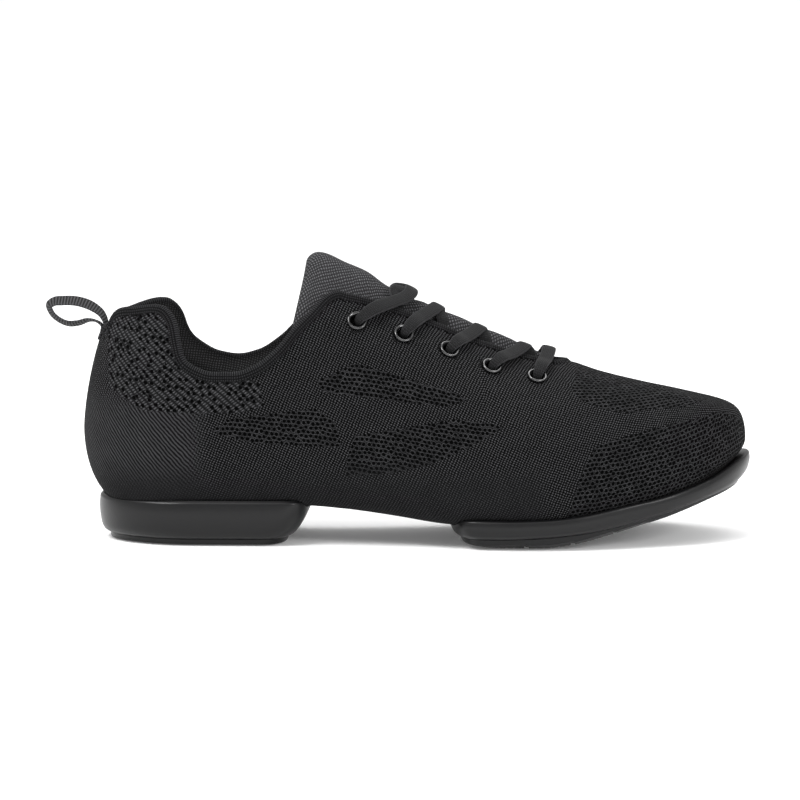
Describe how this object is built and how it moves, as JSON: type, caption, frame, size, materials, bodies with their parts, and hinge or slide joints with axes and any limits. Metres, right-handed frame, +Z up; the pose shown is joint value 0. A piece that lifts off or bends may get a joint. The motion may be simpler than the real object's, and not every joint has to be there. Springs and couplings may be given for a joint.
{
  "type": "dance sneaker",
  "caption": "Low knitted dance sneaker for the right foot, with a split sole, padded tongue, metal eyelets, a flat lace and a webbing loop at the heel.",
  "frame": {"origin": "on the floor under the middle of the heel tread", "axes": "+X from the heel to the toe, +Z up, -Y towards the little-toe side of the right foot"},
  "size_m": [0.2863, 0.0952, 0.1161],
  "materials": {
    "knit": "engineered knit, matt black",
    "padded_knit": "padded knit, matt black",
    "sole_rubber": "moulded, satin black",
    "sock_liner": "brushed lining on foam, matt black",
    "eyelet_metal": "black enamel, glossy",
    "lace": "flat braid, matt black",
    "webbing": "ribbed webbing, matt black"
  },
  "bodies": {
    "root": {"upper": "knit", "heel_sole": "sole_rubber", "forefoot_sole": "sole_rubber", "insole": "sock_liner", "tongue": "padded_knit", "pull_loop": "webbing", "eyelet_lateral_1": "eyelet_metal", "eyelet_medial_1": "eyelet_metal", "eyelet_lateral_2": "eyelet_metal", "eyelet_medial_2": "eyelet_metal", "eyelet_lateral_3": "eyelet_metal", "eyelet_medial_3": "eyelet_metal", "eyelet_lateral_4": "eyelet_metal", "eyelet_medial_4": "eyelet_metal", "eyelet_lateral_5": "eyelet_metal", "eyelet_medial_5": "eyelet_metal", "lace_crossing_1": "lace", "lace_crossing_2": "lace", "lace_crossing_3": "lace", "lace_crossing_4": "lace", "lace_bar": "lace"}
  },
  "joints": []
}
